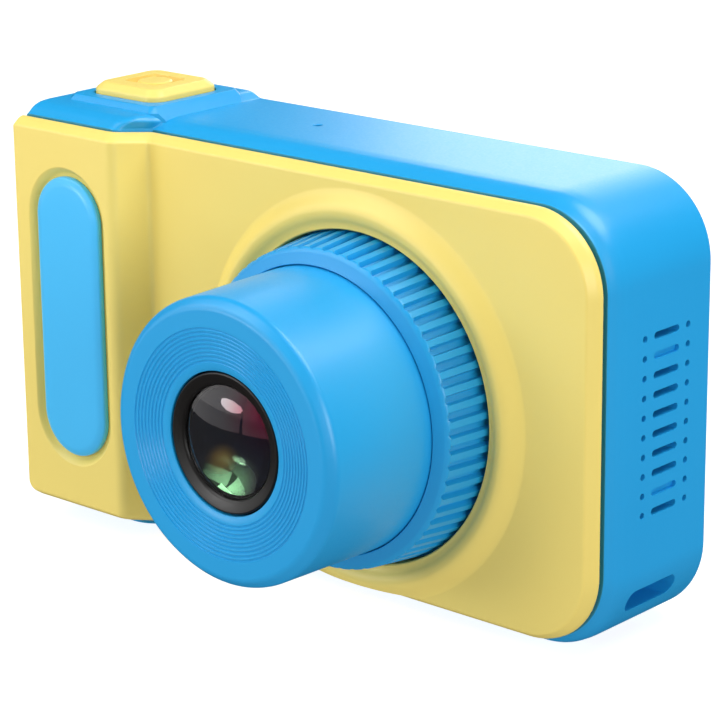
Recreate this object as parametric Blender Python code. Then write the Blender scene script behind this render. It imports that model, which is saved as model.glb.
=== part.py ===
"""Children's digital camera: two-part casing, lens with a turning ring, shutter button, keys, port door
and everything inside.

World frame in metres: +X to the right of the lens side as seen from the front, -Y the way the lens
points, +Z up, origin at the bottom centre of the whole camera. The dimensions below are in millimetres.
"""
import math

import bmesh
import bpy
from mathutils import Vector

MM = 0.001
GAP = 0.3                     # clearance between pieces that touch

# ---- casing ----
WIDTH = 82.6
HEIGHT = 49.9
FACE = 0.6                    # Y of the main front face
BACK = 20.6                   # Y of the back face
WALL = 1.8
TOP_LEFT_R = 0.6
LOW_LEFT_R = 1.8
RIGHT_R = 9.3
SEAM = 2.1                    # the seam lies this far behind the front face
SHOULDER = 3.8                # the shell reaches its full outline here
# insets from the full outline: left, right, top, bottom
FACE_INSET = (0.6, 1.4, 1.9, 2.4)
SEAM_INSET = (0.3, 0.6, 1.1, 1.45)
INNER_INSET = (2.1, 2.4, 2.8, 3.0)
LIP_LENGTH = 1.5
LIP_WALL = 0.9

# ---- grip section, at the left end ----
GRIP_STEP = 4.7               # how far it stands in front of the main face
GRIP_CREST = -24.4            # X where its face ends
GRIP_FOOT = -22.8             # X where the step meets the main face
CREASE_LEAN = 0.7             # the step moves left by this share of the depth behind the face
TOP_LEAN = 1.3                # and by this much at the back
PLATEAU_RISE = 0.72           # its top stands this far above the main top
SEAM_RISE = 0.55              # the same at the seam
BOTTOM_RISE = 1.1             # and its bottom this far above the main bottom
INLAY_X = -32.2
INLAY_Z = 26.4
INLAY_SIZE = (10.3, 33.9)
GROOVE_SIZE = (13.2, 36.6)
GROOVE_DEPTH = 0.9

# ---- lens, on an axis along Y ----
LENS_X = 9.06
LENS_Z = 24.05
LENS_FRONT = FACE - 22.0
BARREL_R = 15.7
BARREL_REAR_R = 16.0
BARREL_FLANGE_R = 21.6
BEZEL_R = 7.75
BEZEL_BORE = 6.04
FRONT_LENS_R = 5.8
OPENING_R = 18.8
RING_R = 18.5
RING_FRONT_R = 17.9
RING_RIBS = 63
EAR_R = 23.0                  # pitch radius of the barrel's screw ears
EAR_ANGLES = (35, 145, 215, 325)

# ---- shutter button ----
SHUTTER_X = -31.9
SHUTTER_Y = 10.7
SHUTTER_SIZE = 11.0
SHUTTER_TOP = 52.6
PEDESTAL_TOP = 51.3

# ---- back: display and keys ----
WINDOW_X = 8.1
WINDOW_Z = 25.7
WINDOW_SIZE = (46.0, 35.0)
PANEL_SIZE = (49.0, 35.0)
KEY_X = -27.8
KEY_Z = 20.5
KEY_REACH = 7.7
KEY_PROUD = 0.8
KEYS = (
    ("nav_up", KEY_X, KEY_Z + KEY_REACH, 2.8),
    ("nav_down", KEY_X, KEY_Z - KEY_REACH, 2.8),
    ("nav_left", KEY_X - KEY_REACH, KEY_Z, 2.8),
    ("nav_right", KEY_X + KEY_REACH, KEY_Z, 2.8),
    ("confirm", KEY_X, KEY_Z, 3.3),
    ("power", KEY_X - 5.0, 36.2, 3.0),
    ("menu", KEY_X + 5.0, 36.2, 3.0),
)

# ---- sides ----
GRILLE_ROWS = 10
GRILLE_LOW = 15.4
GRILLE_PITCH = 2.15
GRILLE_Y = FACE + 12.0
BLIND_ROWS = (1, 8)
STRAP_Y = (FACE + 6.6, FACE + 15.2)
STRAP_Z = (4.6, 7.05)
MIC_X = -8.5
MIC_Y = FACE + 12.6
DOOR_Y = (FACE + 7.0, FACE + 16.0)
DOOR_Z = (13.0, 41.0)
DOOR_T = 1.2

# ---- inside ----
BOARD_Y = (FACE + 13.2, FACE + 14.4)
SCREW_PLACES = ((-36.6, 7.2), (-36.6, 41.0), (28.5, 5.6), (35.2, 43.0))
BOSS_R = 2.3
BOSS_END = BACK - WALL - GAP
HALF = WIDTH / 2

YELLOW = (0.86, 0.74, 0.22)
BLUE = (0.07, 0.45, 0.85)
BLACK = (0.02, 0.02, 0.02)
STEEL = (0.6, 0.6, 0.6)
GREEN = (0.02, 0.16, 0.07)
RED = (0.6, 0.02, 0.02)
GLASS = (0.1, 0.06, 0.12)


# ---------------------------------------------------------------- shapes
def turned(profile, centre, axis="Y", steps=32):
    """Closed outline of (radius, height) points turned about an axis through centre."""
    verts, rings = [], []
    for radius, height in profile:
        ring = []
        for i in range(steps if radius > 0 else 1):
            angle = math.tau * i / steps
            a, b = radius * math.cos(angle), radius * math.sin(angle)
            offset = {"X": (height, a, b), "Y": (a, height, b), "Z": (a, b, height)}[axis]
            ring.append(len(verts))
            verts.append(tuple(c + o for c, o in zip(centre, offset)))
        rings.append(ring)
    faces = []
    for k, ring in enumerate(rings):
        after = rings[(k + 1) % len(rings)]
        for i in range(steps):
            j = (i + 1) % steps
            if len(ring) > 1 and len(after) > 1:
                faces.append((ring[i], ring[j], after[j], after[i]))
            elif len(ring) > 1:
                faces.append((ring[i], ring[j], after[0]))
            elif len(after) > 1:
                faces.append((ring[0], after[j], after[i]))
    return verts, faces


def prism(outline, low, high, axis):
    """Flat outline pushed along an axis; the outline holds the two other coordinates in X, Y, Z order."""
    place = {"X": lambda a, b, h: (h, a, b), "Y": lambda a, b, h: (a, h, b), "Z": lambda a, b, h: (a, b, h)}
    verts = [place[axis](a, b, h) for h in (low, high) for a, b in outline]
    n = len(outline)
    faces = [tuple(range(n)), tuple(range(n, 2 * n))]
    faces += [(i, (i + 1) % n, n + (i + 1) % n, n + i) for i in range(n)]
    return verts, faces


def stack(loops):
    """Solid through loops with the same number of points, closed by a flat face at each end."""
    n = len(loops[0])
    verts = [point for loop in loops for point in loop]
    faces = [tuple(range(n)), tuple(range(len(verts) - n, len(verts)))]
    for k in range(len(loops) - 1):
        faces += [(k * n + i, k * n + (i + 1) % n, k * n + n + (i + 1) % n, k * n + n + i) for i in range(n)]
    return verts, faces


def block(low, high):
    outline = [(low[0], low[1]), (high[0], low[1]), (high[0], high[1]), (low[0], high[1])]
    return prism(outline, low[2], high[2], "Z")


def rounded(centre, size, radius, steps=4):
    """Rounded rectangle; a radius of half the width gives a pill."""
    points = []
    for quarter, (sx, sy) in enumerate(((1, 1), (-1, 1), (-1, -1), (1, -1))):
        cx = centre[0] + sx * (size[0] / 2 - radius)
        cy = centre[1] + sy * (size[1] / 2 - radius)
        for i in range(steps + 1):
            angle = math.radians(90 * (quarter + i / steps))
            point = (cx + radius * math.cos(angle), cy + radius * math.sin(angle))
            if not points or math.dist(points[-1], point) > 1e-6:
                points.append(point)
    if math.dist(points[0], points[-1]) < 1e-6:
        points.pop()
    return points


def disc(radius, low, high, centre, axis, steps=24):
    return turned([(0, low), (radius, low), (radius, high), (0, high)], centre, axis, steps)


def ribbon(path, thickness, low, high):
    """Flat cable: a path of (Y, Z) points given a thickness and a width along X."""
    left, right = [], []
    for i, point in enumerate(path):
        before, after = path[max(i - 1, 0)], path[min(i + 1, len(path) - 1)]
        run = Vector((after[0] - before[0], after[1] - before[1])).normalized()
        side = Vector((-run.y, run.x)) * (thickness / 2)
        left.append((point[0] + side.x, point[1] + side.y))
        right.append((point[0] - side.x, point[1] - side.y))
    return prism(left + right[::-1], low, high, "X")


def smooth_path(points, per_span=4):
    """Catmull-Rom curve through points of any dimension."""
    points = [Vector(p) for p in points]
    ends = [points[0] * 2 - points[1]] + points + [points[-1] * 2 - points[-2]]
    path = []
    for a, b, c, d in zip(ends, ends[1:], ends[2:], ends[3:]):
        for i in range(per_span):
            t = i / per_span
            path.append(0.5 * (2 * b + (c - a) * t + (2 * a - 5 * b + 4 * c - d) * t**2
                               + (3 * b - a - 3 * c + d) * t**3))
    return path + [points[-1]]


# ---------------------------------------------------------------- the casing's outline
def grip(x, lean=0.0):
    """1 over the grip, 0 over the main body, with a soft step between them."""
    t = min(max((x + lean - GRIP_CREST) / (GRIP_FOOT - GRIP_CREST), 0.0), 1.0)
    return 1 - t * t * (3 - 2 * t)


def face_y(x):
    """Y of the front face."""
    return FACE - GRIP_STEP * grip(x)


def columns(inset, lean, rise, arc_steps=8):
    """Columns of the casing outline from left to right: (X, upper Z, lower Z)."""
    left, right, top, bottom = inset
    low_x, high_x = -HALF + left, HALF - right
    upper_r, lower_r = max(TOP_LEFT_R - left, 0.3), max(LOW_LEFT_R - left, 0.3)
    right_r = max(RIGHT_R - right, 0.6)
    places = []
    for i in range(4):
        across = lower_r * (1 - math.cos(math.radians(30 * i)))
        drops = [r - math.sqrt(r * r - max(r - across, 0.0) ** 2) for r in (upper_r, lower_r)]
        places.append((low_x + across, *drops))
    places += [(GRIP_CREST + (GRIP_FOOT - GRIP_CREST) * k / 6 - lean, 0, 0) for k in range(7)]
    for i in range(arc_steps + 1):
        angle = math.radians(90 * i / arc_steps)
        drop = right_r * (1 - math.cos(angle))
        places.append((high_x - right_r * (1 - math.sin(angle)), drop, drop))
    return [(x, HEIGHT + rise * grip(x, lean) - top - upper, BOTTOM_RISE * grip(x, lean) + bottom + lower)
            for x, upper, lower in places]


def level(inset, depth=None, flat=None, rise=PLATEAU_RISE):
    """Closed loop of the casing, a depth behind the front face, or flat at one Y."""
    lean = TOP_LEAN if depth is None else CREASE_LEAN * depth
    row = columns(inset, lean, rise)
    depths = [flat if depth is None else FACE - GRIP_STEP * grip(x, lean) + depth for x, _, _ in row]
    upper = [(x, y, top) for (x, top, _), y in zip(row, depths)]
    lower = [(x, y, bottom) for (x, _, bottom), y in zip(row, depths)]
    return upper + lower[::-1]


def loft(levels):
    """Solid through a list of loops, closed at both ends by upright strips."""
    n = len(levels[0])
    verts = [point for loop in levels for point in loop]
    faces = []
    for k in range(len(levels) - 1):
        for i in range(n):
            j = (i + 1) % n
            faces.append((k * n + i, k * n + j, k * n + n + j, k * n + n + i))
    last = (len(levels) - 1) * n
    for start in (0, last):
        for i in range(n // 2 - 1):
            faces.append((start + i, start + i + 1, start + n - 2 - i, start + n - 1 - i))
    return verts, faces


def grown(inset, extra):
    return tuple(side + extra for side in inset)


# ---------------------------------------------------------------- objects
def material(name, colour, roughness, metallic):
    made = bpy.data.materials.new(name)
    made.use_nodes = True
    shader = made.node_tree.nodes["Principled BSDF"]
    shader.inputs["Base Color"].default_value = (*colour, 1.0)
    shader.inputs["Roughness"].default_value = roughness
    shader.inputs["Metallic"].default_value = metallic
    return made


def mesh_object(name, shapes, origin=(0, 0, 0)):
    bm = bmesh.new()
    for verts, faces in shapes:
        made = [bm.verts.new((Vector(v) - Vector(origin)) * MM) for v in verts]
        for face in faces:
            bm.faces.new([made[i] for i in face])
    bmesh.ops.recalc_face_normals(bm, faces=bm.faces)
    mesh = bpy.data.meshes.new(name)
    bm.to_mesh(mesh)
    bm.free()
    obj = bpy.data.objects.new(name, mesh)
    obj.location = Vector(origin) * MM
    bpy.context.collection.objects.link(obj)
    return obj


def piece(name, *shapes, colour=BLACK, roughness=0.4, metallic=0.0, origin=(0, 0, 0)):
    obj = mesh_object(name, shapes, origin)
    obj.data.materials.append(material(name, colour, roughness, metallic))
    obj.data.shade_smooth()
    obj.data.set_sharp_from_angle(angle=math.radians(35))
    return obj


def helper(name, *shapes):
    """Shapes that only shape another piece."""
    obj = mesh_object(name, shapes)
    obj.hide_render = True
    obj.display_type = "WIRE"
    return obj


def combine(obj, operation, other):
    step = obj.modifiers.new(operation.title(), "BOOLEAN")
    step.operation = operation
    step.object = other


def join(obj, *shapes):
    for shape in shapes:
        combine(obj, "UNION", helper(f"{obj.name}_add_{len(obj.modifiers)}", shape))


def cut(obj, *shapes):
    combine(obj, "DIFFERENCE", helper(f"{obj.name}_cut_{len(obj.modifiers)}", *shapes))


def wire(name, points, radius, colour):
    path = smooth_path(points)
    curve = bpy.data.curves.new(name, "CURVE")
    curve.dimensions = "3D"
    curve.bevel_depth = radius * MM
    curve.bevel_resolution = 2
    curve.use_fill_caps = True
    spline = curve.splines.new("POLY")
    spline.points.add(len(path) - 1)
    for point, place in zip(spline.points, path):
        point.co = (*(place * MM), 1.0)
    obj = bpy.data.objects.new(name, curve)
    curve.materials.append(material(name, colour, 0.4, 0.0))
    bpy.context.collection.objects.link(obj)


def screw(name, place, head, length, axis_sign):
    """Pan-head screw along Y; head is the Y of the face it bears on."""
    profile = [(0, -0.9), (1.1, -0.8), (1.7, -0.3), (1.7, 0), (0.85, 0), (0.85, length), (0, length)]
    profile = [(r, head + axis_sign * h) for r, h in profile]
    piece(name, turned(profile, (place[0], 0, place[1]), steps=12), colour=STEEL, roughness=0.3,
          metallic=1.0)


# ---------------------------------------------------------------- casing pieces
def lens_turn(profile, steps=48):
    """Profile of (radius, Y) turned about the lens axis."""
    return turned(profile, (LENS_X, 0, LENS_Z), steps=steps)


def ear_places():
    for angle in EAR_ANGLES:
        turn = math.radians(angle)
        yield LENS_X + EAR_R * math.cos(turn), LENS_Z + EAR_R * math.sin(turn)


def front_cover():
    lip = grown(INNER_INSET, GAP)
    seat = SEAM - 0.15
    cover = piece("front_cover", loft([
        level(FACE_INSET, 0, rise=SEAM_RISE),
        level(SEAM_INSET, seat, rise=SEAM_RISE),
        level(lip, seat, rise=SEAM_RISE),
        level(lip, seat + LIP_LENGTH, rise=SEAM_RISE),
        level(grown(lip, LIP_WALL), seat + LIP_LENGTH, rise=SEAM_RISE),
        level(grown(lip, LIP_WALL), seat, rise=SEAM_RISE),
    ]), colour=YELLOW, roughness=0.35)
    swell = [(18.2, 1.0), (18.2, -0.85), (19.4, -0.85), (20.1, -1.35), (20.8, -1.5), (21.5, -1.3),
             (22.4, -0.5), (23.4, 0.3), (23.4, 1.0)]
    collar = helper("lens_collar", lens_turn([(r, FACE + d) for r, d in swell]))
    cut(collar, block((LENS_X - 20, FACE - 5, -5), (LENS_X + 20, FACE + 5, FACE_INSET[3])))
    combine(cover, "UNION", collar)
    for x, z in SCREW_PLACES:
        join(cover, disc(BOSS_R, face_y(x) + 1.0, BOSS_END, (x, 0, z), "Y", 16))
    for x, z in ear_places():
        join(cover, disc(2.2, FACE + 1.0, FACE + 3.4, (x, 0, z), "Y", 16))
    cut(cover, disc(OPENING_R, FACE - 5, FACE + 5, (LENS_X, 0, LENS_Z), "Y", 48))
    groove = rounded((INLAY_X, INLAY_Z), GROOVE_SIZE, GROOVE_SIZE[0] / 2, 6)
    front = FACE - GRIP_STEP
    cut(cover, prism(groove, front - 3, front + GROOVE_DEPTH, "Y"))
    for x, z in SCREW_PLACES:
        cut(cover, disc(1.15, BOSS_END - 9, BOSS_END + 3, (x, 0, z), "Y", 12))
    for x, z in ear_places():
        cut(cover, disc(1.15, FACE + 1.2, FACE + 5, (x, 0, z), "Y", 12))


def rear_shell():
    rim = SEAM + 0.15
    shell = piece("rear_shell", loft([
        level(grown((0, 0, 0, 0), WALL + 0.6), flat=BACK - WALL),
        level(grown((0, 0, 0, 0), WALL), flat=BACK - WALL - 0.6),
        level(grown((0, 0, 0, 0), WALL + 0.05), SHOULDER + 0.4),
        level(INNER_INSET, rim, rise=SEAM_RISE),
        level(SEAM_INSET, rim, rise=SEAM_RISE),
        level((0, 0, 0, 0), SHOULDER),
        level((0, 0, 0, 0), flat=FACE + 9.0),
        level((0, 0, 0, 0), flat=BACK - 0.4),
        level(grown((0, 0, 0, 0), 0.4), flat=BACK),
    ]), colour=BLUE, roughness=0.4)
    join(shell, pedestal(), strap_block())
    cut(shell, prism(rounded((SHUTTER_X, SHUTTER_Y), (SHUTTER_SIZE + 0.6, SHUTTER_SIZE + 0.6), 2.1),
                     HEIGHT - 5, HEIGHT + 5, "Z"))
    cut(shell, *grille())
    for passage in strap_tunnel():
        cut(shell, passage)
    cut(shell, disc(0.5, HEIGHT - 4, HEIGHT + 2, (MIC_X, MIC_Y, 0), "Z", 12))
    cut_display(shell)
    for _, x, z, radius in KEYS:
        cut(shell, disc(radius + 0.3, BACK - 4, BACK + 2, (x, 0, z), "Y", 24))
    for x, z in SCREW_PLACES:
        cut(shell, turned([(0, BACK - 4), (1.15, BACK - 4), (1.15, BACK - 1.2), (2.1, BACK - 1.2),
                           (2.1, BACK + 1), (0, BACK + 1)], (x, 0, z), steps=16))
    cut_ports(shell)


def cropped(low, high, corner):
    """Rectangle with its corners cut off."""
    (ax, ay), (bx, by) = low, high
    return [(ax + corner, ay), (bx - corner, ay), (bx, ay + corner), (bx, by - corner),
            (bx - corner, by), (ax + corner, by), (ax, by - corner), (ax, ay + corner)]


def pedestal():
    """Four-sided base of the shutter button, with sloping sides."""
    x, y, base = SHUTTER_X, SHUTTER_Y, HEIGHT + PLATEAU_RISE
    low = cropped((x - 7.3, y - 9.4), (x + 7.2, y + 7.3), 1.9)
    high = cropped((x - 6.7, y - 6.7), (x + 6.7, y + 6.5), 1.3)
    loops = [[(a, b, base - 0.8) for a, b in low], [(a, b, base) for a, b in low],
             [(a, b, PEDESTAL_TOP) for a, b in high]]
    return stack(loops)


def grille():
    """Rows of one slot between two small holes, on the right side; two of the slots are shallow."""
    shapes = []
    for row in range(GRILLE_ROWS):
        z = GRILLE_LOW + GRILLE_PITCH * row
        depth = 0.5 if row in BLIND_ROWS else 4.0
        shapes.append(prism(rounded((GRILLE_Y, z), (4.4, 0.8), 0.4, 2), HALF - depth, HALF + 2, "X"))
        for offset in (-3.8, 3.8):
            shapes.append(disc(0.38, HALF - 4, HALF + 2, (0, GRILLE_Y + offset, z), "X", 8))
    return shapes


def strap_block():
    """Solid corner that the strap passage runs through; its outer side follows the rounded corner."""
    centre_x, centre_z, radius = HALF - RIGHT_R, RIGHT_R, RIGHT_R - 0.9
    angles = [math.radians(angle) for angle in (-83, -68, -53, -38, -23, -8)]
    outline = [(centre_x + radius * math.cos(a), centre_z + radius * math.sin(a)) for a in angles]
    outline = [(outline[0][0], outline[-1][1])] + outline
    return prism(outline, STRAP_Y[0] - 1.2, STRAP_Y[1] + 1.2, "Y")


def strap_tunnel():
    """Passage for a wrist strap: a round-ended slot in the side, then down to a slot in the bottom."""
    width, height = STRAP_Y[1] - STRAP_Y[0], STRAP_Z[1] - STRAP_Z[0]
    middle = ((STRAP_Y[0] + STRAP_Y[1]) / 2, (STRAP_Z[0] + STRAP_Z[1]) / 2)
    side = prism(rounded(middle, (width, height), height / 2 - 0.02, 4), HALF - 6.5, HALF + 1, "X")
    down = prism(rounded((HALF - 5.4, middle[0]), (2.2, width), 1.08, 4), -1, STRAP_Z[1], "Z")
    return side, down


def cut_display(shell):
    centre = (WINDOW_X, WINDOW_Z)
    seat = (WINDOW_SIZE[0] + 0.5, WINDOW_SIZE[1] + 0.5)
    cut(shell, prism(rounded(centre, seat, 2.0), BACK - 1.3, BACK + 1, "Y"))
    cut(shell, prism(rounded(centre, (WINDOW_SIZE[0] - 3.2, WINDOW_SIZE[1] - 3.0), 1.0), BACK - 4, BACK, "Y"))


def cut_ports(shell):
    """Seat of the port door and the two socket openings behind it, on the left side."""
    low, high = (DOOR_Y[0] - GAP, DOOR_Z[0] - GAP), (DOOR_Y[1] + GAP, DOOR_Z[1] + GAP)
    middle = ((low[0] + high[0]) / 2, (low[1] + high[1]) / 2)
    seat = rounded(middle, (high[0] - low[0], high[1] - low[1]), 2.0)
    cut(shell, prism(seat, -HALF - 1, -HALF + DOOR_T + GAP, "X"))
    cut(shell, block((-HALF - 1, BOARD_Y[0] - 3.3, 16.0), (-HALF + 4, BOARD_Y[0] - 0.1, 24.2)))
    cut(shell, block((-HALF - 1, BOARD_Y[0] - 2.4, 26.0), (-HALF + 4, BOARD_Y[0] - 0.1, 38.2)))


def grip_inlay():
    front = FACE - GRIP_STEP
    width, height = INLAY_SIZE
    loops = []
    for inset, depth in ((0, GROOVE_DEPTH - GAP), (0, 0.2), (0.85, -0.15)):
        outline = rounded((INLAY_X, INLAY_Z), (width - 2 * inset, height - 2 * inset), width / 2 - inset, 6)
        loops.append([(x, front + depth, z) for x, z in outline])
    piece("grip_inlay", stack(loops), colour=BLUE, roughness=0.3)


def casing_screws():
    for number, place in enumerate(SCREW_PLACES, 1):
        screw(f"casing_screw_{number}", place, BACK - 0.9, 8.5, -1)


def port_door():
    pivot = (-HALF, (DOOR_Y[0] + DOOR_Y[1]) / 2, DOOR_Z[0])
    middle = ((DOOR_Y[0] + DOOR_Y[1]) / 2, (DOOR_Z[0] + DOOR_Z[1]) / 2)
    outline = rounded(middle, (DOOR_Y[1] - DOOR_Y[0], DOOR_Z[1] - DOOR_Z[0]), 1.7)
    piece("port_door", prism(outline, -HALF, -HALF + DOOR_T, "X"), colour=BLUE, roughness=0.6,
          origin=pivot)


# ---------------------------------------------------------------- lens pieces
def lens_barrel():
    profile = [
        (8.05, 0.7), (12.65, 0), (14.75, 0), (BARREL_R, 1.05), (BARREL_REAR_R, 15.0),
        (BARREL_REAR_R, 25.7), (BARREL_FLANGE_R, 25.7), (BARREL_FLANGE_R, 27.2), (14.2, 27.2),
        (14.0, 14.0), (13.6, 2.4), (8.05, 2.4),
    ]
    barrel = piece("lens_barrel", lens_turn([(r, LENS_FRONT + d) for r, d in profile]), colour=BLUE,
                   roughness=0.4)
    for x, z in ear_places():
        join(barrel, disc(2.8, FACE + 3.7, FACE + 5.2, (x, 0, z), "Y", 16))
    cut(barrel, *[disc(1.15, FACE + 2, FACE + 7, (x, 0, z), "Y", 12) for x, z in ear_places()])
    for number, place in enumerate(ear_places(), 1):
        screw(f"barrel_screw_{number}", place, FACE + 5.4, 3.9, -1)


def focus_ring():
    """Ring with ribs round its outside; its rear lip is held behind the cover."""
    steps = RING_RIBS * 2
    sections = [
        (16.3, -6.75, 0), (17.4, -6.4, 0), (RING_FRONT_R, -6.0, 0), (RING_FRONT_R, -5.85, 0),
        (RING_FRONT_R + 0.04, -5.6, 0.7), (RING_R, -0.4, 0.7), (RING_R, 2.0, 0.7), (19.55, 2.3, 0),
        (19.55, 3.4, 0), (16.3, 3.4, 0),
    ]
    verts, faces = [], []
    for radius, depth, tooth in sections:
        for i in range(steps):
            angle = math.tau * i / steps
            reach = radius - tooth * (i % 2)
            verts.append((LENS_X + reach * math.cos(angle), FACE + depth, LENS_Z + reach * math.sin(angle)))
    count = len(sections)
    for k in range(count):
        for i in range(steps):
            j, after = (i + 1) % steps, (k + 1) % count
            faces.append((k * steps + i, k * steps + j, after * steps + j, after * steps + i))
    piece("focus_ring", (verts, faces), colour=BLUE, roughness=0.4, origin=(LENS_X, FACE, LENS_Z))


def lens_pieces():
    front = LENS_FRONT
    bezel = [(BEZEL_BORE, 1.3), (BEZEL_BORE + 0.3, 0.85), (7.4, 0.75), (BEZEL_R, 0.95), (BEZEL_R, 2.4),
             (BEZEL_BORE, 2.4)]
    piece("lens_bezel", lens_turn([(r, front + d) for r, d in bezel], 40), colour=BLACK, roughness=0.3)
    dome = [(FRONT_LENS_R * math.sin(a), 1.5 + 1.6 * (1 - math.cos(a)) / (1 - math.cos(0.9)))
            for a in (0.0, 0.22, 0.45, 0.68, 0.9)]
    dome = [(r / math.sin(0.9), d) for r, d in dome]
    dome += [(FRONT_LENS_R, 4.4), (0, 4.4)]
    piece("front_lens", lens_turn([(r, front + d) for r, d in dome], 32), colour=GLASS, roughness=0.05)
    cell = [(6.2, 2.7), (13.1, 2.7), (13.1, 3.9), (7.4, 3.9), (7.4, 14.1), (5.9, 14.1), (5.9, 12.8),
            (4.9, 12.8), (4.9, 5.2), (6.2, 5.2)]
    piece("lens_cell", lens_turn([(r, front + d) for r, d in cell], 32), colour=BLACK, roughness=0.5)
    inner = [(0, 6.2), (3.2, 6.5), (4.6, 7.2), (4.6, 8.2), (0, 8.2)]
    piece("inner_lens", lens_turn([(r, front + d) for r, d in inner], 24), colour=GLASS, roughness=0.05)
    piece("ir_filter", disc(4.6, front + 10.6, front + 11.0, (LENS_X, 0, LENS_Z), "Y", 24),
          colour=(0.1, 0.3, 0.35), roughness=0.05)
    sensor_y = front + 13.4
    low, high = (LENS_X - 3.5, sensor_y, LENS_Z - 3.5), (LENS_X + 3.5, sensor_y + 0.9, LENS_Z + 3.5)
    piece("image_sensor", block(low, high), colour=(0.05, 0.05, 0.08), roughness=0.2)
    board_y = sensor_y + 1.2
    piece("sensor_board", block((LENS_X - 8, board_y, LENS_Z - 8), (LENS_X + 8, board_y + 1.0, LENS_Z + 8)),
          colour=GREEN, roughness=0.4)
    path = [(board_y + 1.4, LENS_Z + 2), (board_y + 2.0, LENS_Z + 7), (FACE - 1.0, LENS_Z + 10),
            (FACE + 4.5, LENS_Z + 12), (FACE + 5.9, LENS_Z + 14), (FACE + 6.6, LENS_Z + 17),
            (FACE + 9.5, LENS_Z + 18.5), (BOARD_Y[0] - 0.9, LENS_Z + 17.5)]
    piece("sensor_flex", ribbon([tuple(p) for p in smooth_path(path, 3)], 0.25, LENS_X - 3, LENS_X + 3),
          colour=(0.35, 0.16, 0.03), roughness=0.4)


# ---------------------------------------------------------------- shutter
def shutter():
    centre = (SHUTTER_X, SHUTTER_Y)
    size, top = SHUTTER_SIZE, SHUTTER_TOP
    levels = [(size - 1.7, 1.3, top), (size - 0.25, 1.8, top - 0.55), (size, 1.9, top - 0.75)]
    levels += [(size, 1.9, 47.7), (size + 1.8, 1.5, 47.7), (size + 1.8, 1.5, 47.0)]
    loops = [[(x, y, z) for x, y in rounded(centre, (side, side), radius)] for side, radius, z in levels]
    button = piece("shutter_button", stack(loops), colour=YELLOW, roughness=0.35,
                   origin=(*centre, PEDESTAL_TOP))
    join(button, disc(1.1, 45.8, 47.5, (*centre, 0), "Z", 12))
    cut(button, prism(rounded(centre, (5.0, 4.7), 0.6, 2), top - 0.35, top + 1, "Z"))
    join(button, disc(1.7, top - 0.6, top, (*centre, 0), "Z", 20))
    low, high = (SHUTTER_X - 3, SHUTTER_Y - 3, 44.9), (SHUTTER_X + 3, SHUTTER_Y + 3, 46.0)
    switch = piece("shutter_switch", block(low, high), colour=BLACK, roughness=0.5)
    cut(switch, disc(1.5, 45.0, 49.0, (*centre, 0), "Z", 12))
    low, high = (SHUTTER_X - 6, SHUTTER_Y - 6.5, 43.6), (SHUTTER_X + 6, SHUTTER_Y + 2.8, 44.6)
    piece("shutter_board", block(low, high), colour=GREEN, roughness=0.4)


# ---------------------------------------------------------------- back: display and keys
def display():
    centre = (WINDOW_X, WINDOW_Z)
    piece("display_window", prism(rounded(centre, WINDOW_SIZE, 1.8), BACK - 1.1, BACK - 0.05, "Y"),
          colour=BLACK, roughness=0.08)
    piece("display_panel", prism(rounded(centre, PANEL_SIZE, 0.3, 1), BACK - 4.3, BACK - WALL - GAP, "Y"),
          colour=(0.03, 0.03, 0.04), roughness=0.2)
    bottom = WINDOW_Z - PANEL_SIZE[1] / 2
    rear = BOARD_Y[1] + 0.35
    path = [(BACK - 3.4, bottom - 0.2), (BACK - 4.1, bottom - 1.6), (rear + 0.2, bottom - 1.2),
            (rear, bottom + 1.0), (rear, bottom + 5.0)]
    piece("display_flex", ribbon([tuple(p) for p in smooth_path(path, 3)], 0.2, WINDOW_X - 6, WINDOW_X + 6),
          colour=(0.35, 0.16, 0.03), roughness=0.4)


def keys():
    flange = BACK - WALL - GAP
    seat = BOARD_Y[1] + 0.3
    for name, x, z, radius in KEYS:
        profile = [(0, BACK + KEY_PROUD), (radius - 0.7, BACK + KEY_PROUD), (radius - 0.1, BACK + 0.4),
                   (radius, BACK + 0.1), (radius, flange), (radius + 0.6, flange),
                   (radius + 0.6, flange - 0.8), (0.8, flange - 0.8), (0.8, flange - 2.0), (0, flange - 2.0)]
        piece(f"{name}_key", turned(profile, (x, 0, z), steps=20), colour=YELLOW, roughness=0.4,
              origin=(x, BACK, z))
        switch = piece(f"{name}_switch", block((x - 2.2, seat, z - 2.2), (x + 2.2, seat + 1.9, z + 2.2)),
                       colour=STEEL, roughness=0.4, metallic=0.8)
        cut(switch, disc(1.1, seat + 0.4, seat + 3, (x, 0, z), "Y", 12))


# ---------------------------------------------------------------- electronics
def main_board():
    left, right, low, high = -HALF + WALL + 0.6, 33.0, 8.3, 42.6
    step = -33.4
    outline = [(left, 14.5), (step, 14.5), (step, low), (right, low), (right, high), (step, high),
               (step, 38.3), (left, 38.3)]
    piece("main_board", prism(outline, *BOARD_Y, "Y"), colour=GREEN, roughness=0.4)
    front = BOARD_Y[0] - GAP
    piece("main_chip", block((-24, front - 1.0, 21), (-14.5, front, 31)), colour=BLACK, roughness=0.5)
    socket = piece("usb_socket", block((-HALF + 2.0, front - 2.6, 16.3), (-HALF + 7.5, front, 23.9)),
                   colour=STEEL, roughness=0.3, metallic=1.0)
    cut(socket, block((-HALF + 1, front - 2.2, 16.7), (-HALF + 6.5, front - 0.4, 23.5)))
    slot = piece("card_slot", block((-HALF + 2.0, front - 1.9, 26.2), (-HALF + 15.5, front, 38.0)),
                 colour=STEEL, roughness=0.3, metallic=1.0)
    cut(slot, block((-HALF + 1, front - 1.5, 26.7), (-HALF + 14.5, front - 0.5, 37.5)))


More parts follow.
